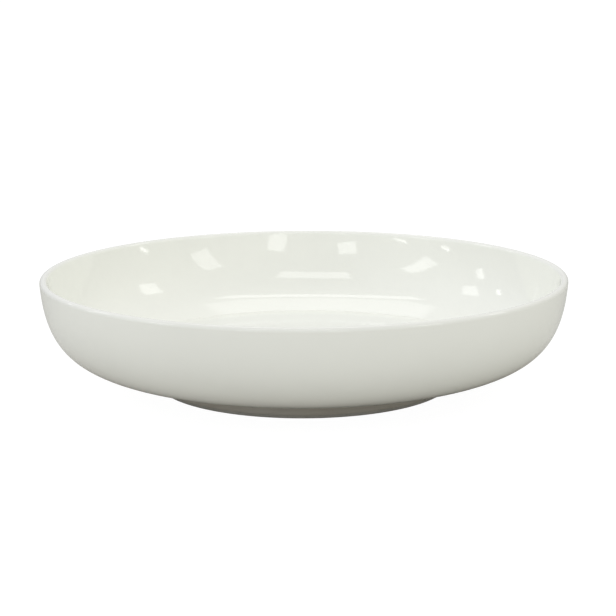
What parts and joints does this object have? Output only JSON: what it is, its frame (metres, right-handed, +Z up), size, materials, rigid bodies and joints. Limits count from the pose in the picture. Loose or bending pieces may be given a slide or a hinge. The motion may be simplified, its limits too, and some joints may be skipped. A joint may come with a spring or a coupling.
{
  "type": "deep coupe plate",
  "caption": "Round deep coupe plate of ivory glazed porcelain: flat well, high rounded wall, plain round lip, and a low foot ring with a bare standing face.",
  "frame": {"origin": "centre of the plate, on the plane of the foot ring's standing face", "axes": "+Z up along the axis the plate is turned about, from the standing face to the lip; +X and +Y lie in the standing plane"},
  "size_m": [0.24, 0.24, 0.051],
  "materials": {
    "biscuit": "fired porcelain biscuit, matt",
    "foot_biscuit": "fired porcelain biscuit, wiped bare and rubbed smooth on the standing face",
    "inside_glaze": "glossy ivory glaze",
    "outside_glaze": "glossy ivory glaze",
    "underside_glaze": "glossy ivory glaze"
  },
  "bodies": {
    "root": {"plate_body": "biscuit", "foot_ring": "foot_biscuit", "inside_glaze": "inside_glaze", "outside_glaze": "outside_glaze", "underside_glaze": "underside_glaze"}
  },
  "joints": []
}
